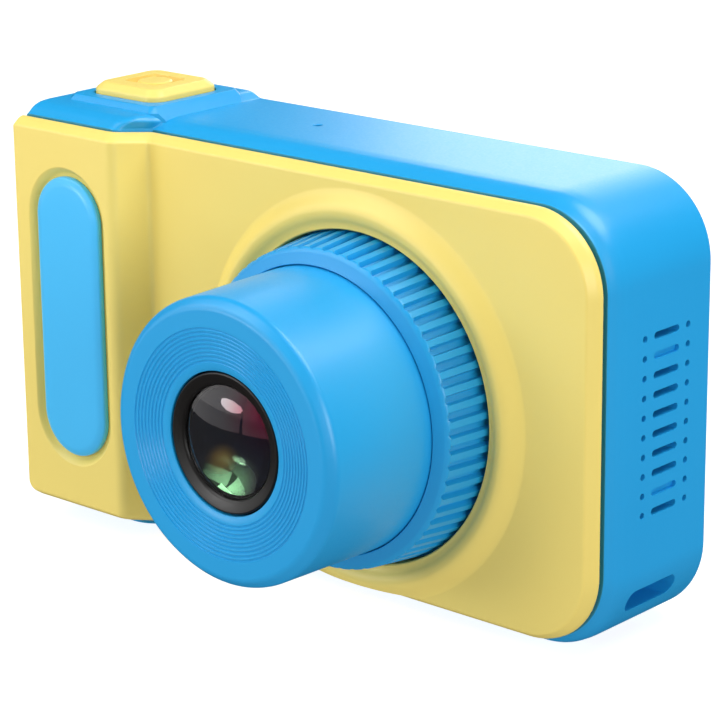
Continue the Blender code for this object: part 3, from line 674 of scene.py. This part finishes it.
# ---------------------------------------------------------------- rear shell
def rear_shell():
    """Box behind the cover; its loops run inside from the back to the seam, then outside to the back."""
    edge = soften([(1.5, SHELL_SEAM), (1.0, SHELL_SEAM), (0.9, SHELL_SEAM + 0.25), (0.36, SHELL_SEAM + 1.15),
                   (0.09, SHELL_SEAM + 2.1), (0.0, SHELL_SEAM + 3.4), (0.0, SHELL_SEAM + 4.4)], 0.4)
    full = (0.0,) * 4
    levels = [level(grown(full, WALL + 0.6), flat=BACK - WALL),
              level(grown(full, WALL), flat=BACK - WALL - 0.6),
              level(grown(full, WALL + 0.05), SHOULDER),
              level(grown(SEAM_INSET, WALL), SHELL_SEAM)]
    levels += [outer_level(s, d) for s, d in edge]
    levels.append(level(full, flat=FACE + 9.0))
    radius, steps = 0.5, 8
    for k in range(steps + 1):
        angle = math.radians(90 * k / steps)
        inset, from_back = radius * (1 - math.cos(angle)), radius * (1 - math.sin(angle))
        levels.append(level(grown(full, inset), flat=BACK - from_back))
    obj = mesh_object("rear_shell_moulding", [loft(levels)])
    carve(obj, "UNION", pedestal())
    carve(obj, "UNION", strap_block())
    hole = rounded((BUTTON.x, BUTTON.y), (BUTTON_SIDE + 2 * BUTTON_GAP,) * 2, 2.05)
    carve(obj, "DIFFERENCE", prism(hole, HEIGHT - 5, HEIGHT + 5, "Z"))
    carve(obj, "DIFFERENCE", *grille())
    for passage in strap_tunnel():
        carve(obj, "DIFFERENCE", passage)
    carve(obj, "DIFFERENCE", mouth_tool(0.55, (MIC.x + 0.3, MIC.y + 0.9, HEIGHT), "Z", 32))
    cut_back(obj)
    cut_door(obj)
    even_shading(obj)
    finish_piece(obj, "body", BLUE, "rear_shell")
    # Faces of the shell's front lip, inside the seam, get the darker blue as painted shade.
    rims = [FACE + SHELL_SEAM, FACE - GRIP_STEP + SHELL_SEAM]

    def on_shaded_rim(centre, facing):
        return facing.y < -0.6 and centre.z < HEIGHT and min(abs(centre.y - rim) for rim in rims) < 0.12

    second_finish(obj, SEAM_SHADE_BLUE, on_shaded_rim)


def mouth_tool(radius, centre, axis, steps):
    """Round hole with a small chamfer at its mouth, which is at centre and faces the axis's high end."""
    lead, through = 0.12, 4.0
    profile = [(0, 2.0), (radius + lead, 2.0), (radius + lead, 0.0), (radius, -lead), (radius, -through),
               (0, -through)]
    return turned(profile, centre, axis, steps)


def pedestal():
    """Four-sided base of the shutter button, with sloping sides."""
    base = HEIGHT + PLATEAU_RISE
    rows = [((-7.3, -7.7), (8.3, 7.6), 1.5, base - 1.6),
            ((-7.3, -7.7), (8.1, 7.6), 1.3, base - 0.8),
            ((-7.3, -7.65), (7.45, 7.5), 0.8, base - 0.02),
            ((-6.9, -7.1), (6.8, 7.2), 0.7, PEDESTAL_TOP - 0.08),
            ((-6.8, -7.0), (6.7, 7.1), 0.7, PEDESTAL_TOP)]
    place = Vector((BUTTON.x, BUTTON.y))
    return stack([upright(cropped(place + Vector(low), place + Vector(high), corner), z, "Z")
                  for low, high, corner, z in rows])


def cropped(low, high, corner):
    """Rectangle with its corners cut off."""
    (ax, ay), (bx, by) = low, high
    return [(ax + corner, ay), (bx - corner, ay), (bx, ay + corner), (bx, by - corner),
            (bx - corner, by), (ax + corner, by), (ax, by - corner), (ax, ay + corner)]


def grille():
    """Rows of one slot between two small holes; the slots of two rows are shallow."""
    slot, hole_r, hole_place = (4.4, 0.8), 0.38, 3.8
    shapes = []
    for row in range(GRILLE_ROWS):
        z = GRILLE_LOW + GRILLE_PITCH * row
        depth = 0.5 if row in BLIND_ROWS else 4.0
        shapes.append(prism(rounded((GRILLE_Y, z), slot, slot[1] / 2, 6), HALF - depth, HALF + 2, "X"))
        for offset in (-hole_place, hole_place):
            shapes.append(disc(hole_r, HALF - 4, HALF + 2, (0, GRILLE_Y + offset, z), "X", 20))
    return shapes


def strap_block():
    """Solid corner that the strap passage runs through."""
    centre_x, centre_z, radius = HALF - RIGHT_R, RIGHT_R, RIGHT_R - 0.9
    angles = [math.radians(-83 + 5 * k) for k in range(16)]
    outline = [(centre_x + radius * math.cos(a), centre_z + radius * math.sin(a)) for a in angles]
    outline = [(outline[0][0], outline[-1][1])] + outline
    return prism(outline, STRAP_Y[0] - 1.2, STRAP_Y[1] + 1.2, "Y")


def strap_tunnel():
    """Passage for a wrist strap: a round-ended slot in the side, then down to a slot in the bottom."""
    width, height = STRAP_Y[1] - STRAP_Y[0], STRAP_Z[1] - STRAP_Z[0]
    middle = ((STRAP_Y[0] + STRAP_Y[1]) / 2, (STRAP_Z[0] + STRAP_Z[1]) / 2)
    side = prism(rounded(middle, (width, height), height / 2 - 0.02, 10), HALF - 6.5, HALF + 1, "X")
    down = prism(rounded((HALF - 5.4, middle[0]), (2.2, width), 1.08, 10), -1, STRAP_Z[1], "Z")
    return side, down


def cut_back(obj):
    """Cuts the display window's seat and opening, and the holes of the keys and screws."""
    seat_size = (WINDOW_HIGH.x - WINDOW_LOW.x + 0.4, WINDOW_HIGH.z - WINDOW_LOW.z + 0.4)
    seat = rounded((WINDOW.x, WINDOW.z), seat_size, 2.0)
    carve(obj, "DIFFERENCE", prism(seat, BACK - 1.3, BACK + 1, "Y"))
    open_size = (seat_size[0] - 3.6, seat_size[1] - 3.4)
    carve(obj, "DIFFERENCE", prism(rounded((WINDOW.x, WINDOW.z), open_size, 1.0), BACK - 4, BACK, "Y"))
    holes = []
    for node in KEY_NODES:
        low, high, middle = box_mm(node)
        radius = (high.x - low.x) / 2 - KEY_FLANGE + KEY_GAP
        holes.append(mouth_tool(radius, (middle.x, BACK, middle.z), "Y", 64))
    for node in SCREW_NODES:
        middle = box_mm(node)[2]
        profile = [(0, 1), (2.2, 1), (2.2, 0), (2.05, -0.15), (2.05, -1.2), (0, -1.2)]
        holes.append(turned([(r, BACK + h) for r, h in profile], (middle.x, 0, middle.z), "Y", 48))
    carve(obj, "DIFFERENCE", *holes)


def cut_door(obj):
    """Cuts the port door's seat and the openings of the two sockets behind it."""
    size = (DOOR_HIGH.y - DOOR_LOW.y + 0.4, DOOR_HIGH.z - DOOR_LOW.z + 0.4)
    seat = rounded((DOOR.y, DOOR.z), size, 1.9)
    carve(obj, "DIFFERENCE", prism(seat, -HALF - 1, DOOR_HIGH.x + 0.25, "X"))
    for node, grow in (("usb_socket", 0.3), ("card_slot", 0.2)):
        low, high, _ = box_mm(node)
        opening = block((-HALF - 1, low.y - grow, low.z - grow), (-HALF + 4, high.y + grow, high.z + grow))
        carve(obj, "DIFFERENCE", opening)


# ---------------------------------------------------------------- lens
def lens_turn(profile, steps):
    """Profile of (radius, depth behind the barrel's front) turned about the lens axis."""
    return turned([(r, BARREL_FRONT + d) for r, d in profile], (LENS.x, 0, LENS.z), "Y", steps)


def lens_barrel():
    """Barrel with fine grooves in the cone that leads down to the glass."""
    face = [(7.85, 1.2), (7.85, 0.7), (8.0, 0.6)]
    grooves, first, last = 9, 8.6, 12.6
    pitch = (last - first) / grooves
    for k in range(grooves):
        start, base = first + pitch * k, 0.5 * (1 - k / grooves)
        face += [(start, base), (start + pitch * 0.3, base - 0.01), (start + pitch * 0.45, base + 0.07),
                 (start + pitch * 0.8, base + 0.07), (start + pitch * 0.95, base - 0.05)]
    outside = soften([(12.8, 0.0), (14.75, 0.0), (15.7, 1.05), (16.0, 15.0), (16.0, 26.0)], 0.45, 6)
    inside = [(14.2, 26.0), (14.0, 14.0), (13.6, 2.4), (7.85, 2.4)]
    obj = mesh_object("lens_barrel_turned", [lens_turn(face + outside + inside, 256)])
    even_shading(obj)
    finish_piece(obj, "body", BLUE, "lens_barrel")


def focus_ring():
    """Ring whose outside has round-ended flutes that run back under the cover."""
    per_rib = 10
    steps = RING_RIBS * per_rib
    front, behind, flute = 17.92, 18.5, 0.7
    start, end = -6.0, -0.4
    half_width = 0.26 * math.tau / RING_RIBS * front
    sections = [(16.1, -6.7, False), (16.2, -6.8, False), (17.35, -6.42, False), (17.5, -6.36, False),
                (front - 0.1, -6.06, False)]
    for k in range(14):
        depth = start + 0.06 + 0.11 * k
        sections.append((front + (behind - front) * (depth - start) / (end - start), depth, True))
    sections += [(behind - 0.1, -1.4, True), (behind, end, True), (behind, 1.9, True), (19.4, 2.1, False),
                 (19.4, 3.4, False), (16.1, 3.4, False)]
    verts, faces = [], []
    for radius, depth, fluted in sections:
        for i in range(steps):
            angle = math.tau * i / steps
            across = (i % per_rib - per_rib / 2) / per_rib * math.tau / RING_RIBS * front
            reach = radius
            if fluted:
                along = max(start + half_width - depth, 0.0)
                edge = math.hypot(across, along) / half_width
                reach -= flute * (1 - ease((edge - 0.7) / 0.36))
            verts.append((LENS.x + reach * math.cos(angle), FACE + depth, LENS.z + reach * math.sin(angle)))
    count = len(sections)
    for k in range(count):
        for i in range(steps):
            j, after = (i + 1) % steps, (k + 1) % count
            faces.append((k * steps + i, k * steps + j, after * steps + j, after * steps + i))
    obj = mesh_object("turning_ring", [(verts, faces)])
    even_shading(obj, 40)
    finish_piece(obj, "turning_ring", BLUE, "focus_ring")


def bowl(rim, sink, steps=24):
    """Points (radius, depth) of a shallow ball surface, from its middle to its rim."""
    ball = (rim * rim + sink * sink) / (2 * sink)
    radii = [rim * k / steps for k in range(steps + 1)]
    return [(radius, ball - math.sqrt(ball * ball - radius ** 2)) for radius in radii]


def lens_bezel():
    bezel = soften([(6.2, 2.3), (6.2, 1.3), (6.4, 1.05), (7.5, 0.72), (7.65, 0.85), (7.65, 2.4)], 0.1, 4)
    obj = mesh_object("bezel_turned", [lens_turn(bezel, 128)])
    even_shading(obj)
    finish_piece(obj, "body", BLACK, "lens_bezel")


def front_lens():
    ball = bowl(6.17, 1.2)
    dome = [(r, 0.1 + d) for r, d in ball] + [(r, 0.9 + 0.75 * d) for r, d in reversed(ball)]
    obj = mesh_object("front_lens_dome", [lens_turn(dome, 128)])
    even_shading(obj)
    finish_piece(obj, "body", FRONT_GLASS, "front_lens")


def inner_lens():
    dish = [(r, 4.1 - d) for r, d in bowl(5.7, 2.0)] + [(5.7, 8.2), (0, 8.2)]
    obj = mesh_object("inner_lens_dish", [lens_turn(dish, 96)])
    even_shading(obj)
    finish_piece(obj, "body", INNER_GLASS, "inner_lens")


def lens_cell():
    cell = [(6.15, 2.05), (6.15, 2.7), (13.0, 2.7), (13.0, 3.9), (7.4, 3.9),
            (7.4, 14.0), (5.75, 14.0), (5.75, 2.4), (5.85, 2.05)]
    obj = mesh_object("lens_cell_turned", [lens_turn(cell, 96)])
    even_shading(obj)
    finish_piece(obj, "body", DARK, "lens_cell")


# ---------------------------------------------------------------- shutter button
def shutter_button():
    middle, top = (BUTTON.x, BUTTON.y), BUTTON_HIGH.z
    flange_top = top - 4.9
    loops = []
    for z in (BUTTON_LOW.z + 1.2, flange_top):
        loops.append(upright(rounded(middle, (BUTTON_SIDE + 1.8,) * 2, 1.5), z, "Z"))
    for inset, z in soften([(0.0, flange_top), (0.0, top - 0.75), (0.85, top), (2.0, top)], 0.2):
        outline = rounded(middle, (BUTTON_SIDE - 2 * inset,) * 2, max(1.9 - 0.6 * inset, 0.5))
        loops.append(upright(outline, z, "Z"))
    obj = mesh_object("shutter_button_cap", [stack(loops)])
    sunk = [upright(rounded(middle, (side, side - 0.3), 0.5, 4), z, "Z")
            for side, z in ((4.9, top - 0.45), (5.4, top), (5.6, top + 1))]
    carve(obj, "DIFFERENCE", stack(sunk))
    emblem = [(0, top - 0.6), (2.15, top - 0.6), (2.05, top - 0.15), (1.85, top - 0.02), (0, top)]
    carve(obj, "UNION", turned(emblem, (*middle, 0), "Z", 48))
    even_shading(obj)
    finish_piece(obj, "shutter", YELLOW, "shutter_button")

    # The sunk floor round the emblem's island gets the deeper yellow: painted recess shade.
    def on_emblem(centre, facing):
        sunk = facing.z > 0.3 and top - 0.5 < centre.z < top - 0.12
        return sunk and max(abs(centre.x - BUTTON.x), abs(centre.y - BUTTON.y)) < 2.8

    second_finish(obj, RECESS_SHADE_YELLOW, on_emblem)


# ---------------------------------------------------------------- back
KEY_NAMES = ("nav_up", "nav_down", "nav_left", "nav_right", "confirm", "power", "menu")
KEY_NODES = [f"{name}_key" for name in KEY_NAMES]
SCREW_NODES = [f"casing_screw_{k}" for k in range(1, 5)]


def keys():
    for name, node in zip(KEY_NAMES, KEY_NODES):
        low, high, middle = box_mm(node)
        radius = (high.x - low.x) / 2 - KEY_FLANGE
        flange = high.y - 0.8 - 2.1
        edge = soften([(radius, flange), (radius, high.y - 0.55), (radius - 0.5, high.y - 0.05),
                       (0.6, high.y)], 0.3)
        profile = [(0, flange - 2.0), (0.8, flange - 2.0), (0.8, flange - 0.7),
                   (radius + KEY_FLANGE, flange - 0.7), (radius + KEY_FLANGE, flange), *edge, (0, high.y)]
        obj = mesh_object(f"{name}_key_cap", [turned(profile, (middle.x, 0, middle.z), "Y", 64)])
        mark_key(obj, name, middle, high.y, radius)
        even_shading(obj)
        finish_piece(obj, name, KEY_YELLOW, node)

        # The floors of the sunk marks get the same deeper yellow: painted recess shade.
        def on_mark(centre, facing):
            sunk = facing.y > 0.3 and high.y - 0.25 < centre.y < high.y - 0.1
            return sunk and math.dist((centre.x, centre.z), (middle.x, middle.z)) < radius * 0.7

        second_finish(obj, RECESS_SHADE_YELLOW, on_mark)


def mark_key(obj, name, middle, top, radius):
    """Sunk plain marks: arrows on the direction keys, bars on the menu key, rings on the other two."""
    turns = {"nav_up": 90, "nav_down": -90, "nav_left": 180, "nav_right": 0}
    bottom = top - 0.22
    if name in turns:
        corners = []
        for k in range(3):
            angle = math.radians(turns[name] + 120 * k)
            corners.append((middle.x + 1.25 * math.cos(angle), middle.z + 1.25 * math.sin(angle)))
        carve(obj, "DIFFERENCE", prism(corners, bottom, top + 1, "Y"))
    elif name == "menu":
        low_x, high_x = middle.x - 1.3, middle.x + 1.3
        bars = [block((low_x, bottom, middle.z + z - 0.18), (high_x, top + 1, middle.z + z + 0.18))
                for z in (-0.85, 0.0, 0.85)]
        carve(obj, "DIFFERENCE", *bars)
    else:
        inner, outer = radius * 0.42, radius * 0.52
        ring = [(inner, bottom), (outer, bottom), (outer, top + 1), (inner, top + 1)]
        carve(obj, "DIFFERENCE", turned(ring, (middle.x, 0, middle.z), "Y", 48))


def display():
    edge = soften([(0, WINDOW_LOW.y), (0, WINDOW_HIGH.y), (0.8, WINDOW_HIGH.y)], 0.2, 4)
    size = (WINDOW_HIGH.x - WINDOW_LOW.x, WINDOW_HIGH.z - WINDOW_LOW.z)
    loops = []
    for inset, y in edge:
        outline = rounded((WINDOW.x, WINDOW.z), (size[0] - 2 * inset, size[1] - 2 * inset), 1.8 - inset)
        loops.append(upright(outline, y, "Y"))
    obj = mesh_object("display_window_pane", [stack(loops)])
    even_shading(obj)
    finish_piece(obj, "body", SMOKED, "display_window")


def screws():
    for node in SCREW_NODES:
        _, high, middle = box_mm(node)
        top = high.y
        profile = [(0, top - 9), (0.85, top - 9), (0.85, top - 0.9), (1.7, top - 0.9), (1.7, top - 0.4),
                   (1.4, top - 0.12), (0.9, top), (0, top)]
        obj = mesh_object(f"{node}_head", [turned(profile, (middle.x, 0, middle.z), "Y", 48)])
        for a, b in ((1.0, 0.2), (0.2, 1.0)):
            arm = block((middle.x - a, top - 0.6, middle.z - b), (middle.x + a, top + 1, middle.z + b))
            carve(obj, "DIFFERENCE", arm)
        even_shading(obj)
        finish_piece(obj, "body", STEEL, node)


def port_door():
    size = (DOOR_HIGH.y - DOOR_LOW.y, DOOR_HIGH.z - DOOR_LOW.z)
    edge = soften([(0, DOOR_HIGH.x), (0, DOOR_LOW.x), (0.8, DOOR_LOW.x)], 0.3)
    loops = []
    for inset, x in edge:
        outline = rounded((DOOR.y, DOOR.z), (size[0] - 2 * inset, size[1] - 2 * inset), 1.7 - inset * 0.6)
        loops.append(upright(outline, x, "X"))
    obj = mesh_object("port_door_flap", [stack(loops)])
    notch = turned([(0, -HALF + 0.5), (1.6, -HALF + 0.5), (2.2, -HALF - 1), (0, -HALF - 1)],
                   (0, DOOR.y, DOOR_HIGH.z + 0.2), "X", 48)
    carve(obj, "DIFFERENCE", notch)
    even_shading(obj)
    finish_piece(obj, "door", RUBBER, "port_door")


# ---------------------------------------------------------------- inside
def inner_pieces():
    """Finishes of the pieces inside, which keep their CAD shapes."""
    switches = [f"{name}_switch" for name in KEY_NAMES]
    barrel_screws = [f"barrel_screw_{k}" for k in range(1, 5)]
    finishes = ((BOARD, ["main_board", "sensor_board", "shutter_board"]),
                (FILM, ["sensor_flex", "display_flex"]),
                (STEEL, ["usb_socket", "card_slot", "shutter_switch", *switches, *barrel_screws]),
                (DARK, ["main_chip", "speaker", "microphone", "battery_lead_black", "speaker_lead_black"]),
                (RED_WIRE, ["battery_lead_red", "speaker_lead_red"]),
                (SCREEN, ["display_panel", "image_sensor"]),
                (FILTER, ["ir_filter"]),
                (FOIL, ["battery"]))
    for material, nodes in finishes:
        for node in nodes:
            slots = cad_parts[node].data.materials
            slots.clear()
            slots.append(material)


place_camera()
studio()
front_cover()
grip_inlay()
rear_shell()
lens_barrel()
focus_ring()
lens_bezel()
front_lens()
inner_lens()
lens_cell()
shutter_button()
keys()
display()
screws()
port_door()
inner_pieces()
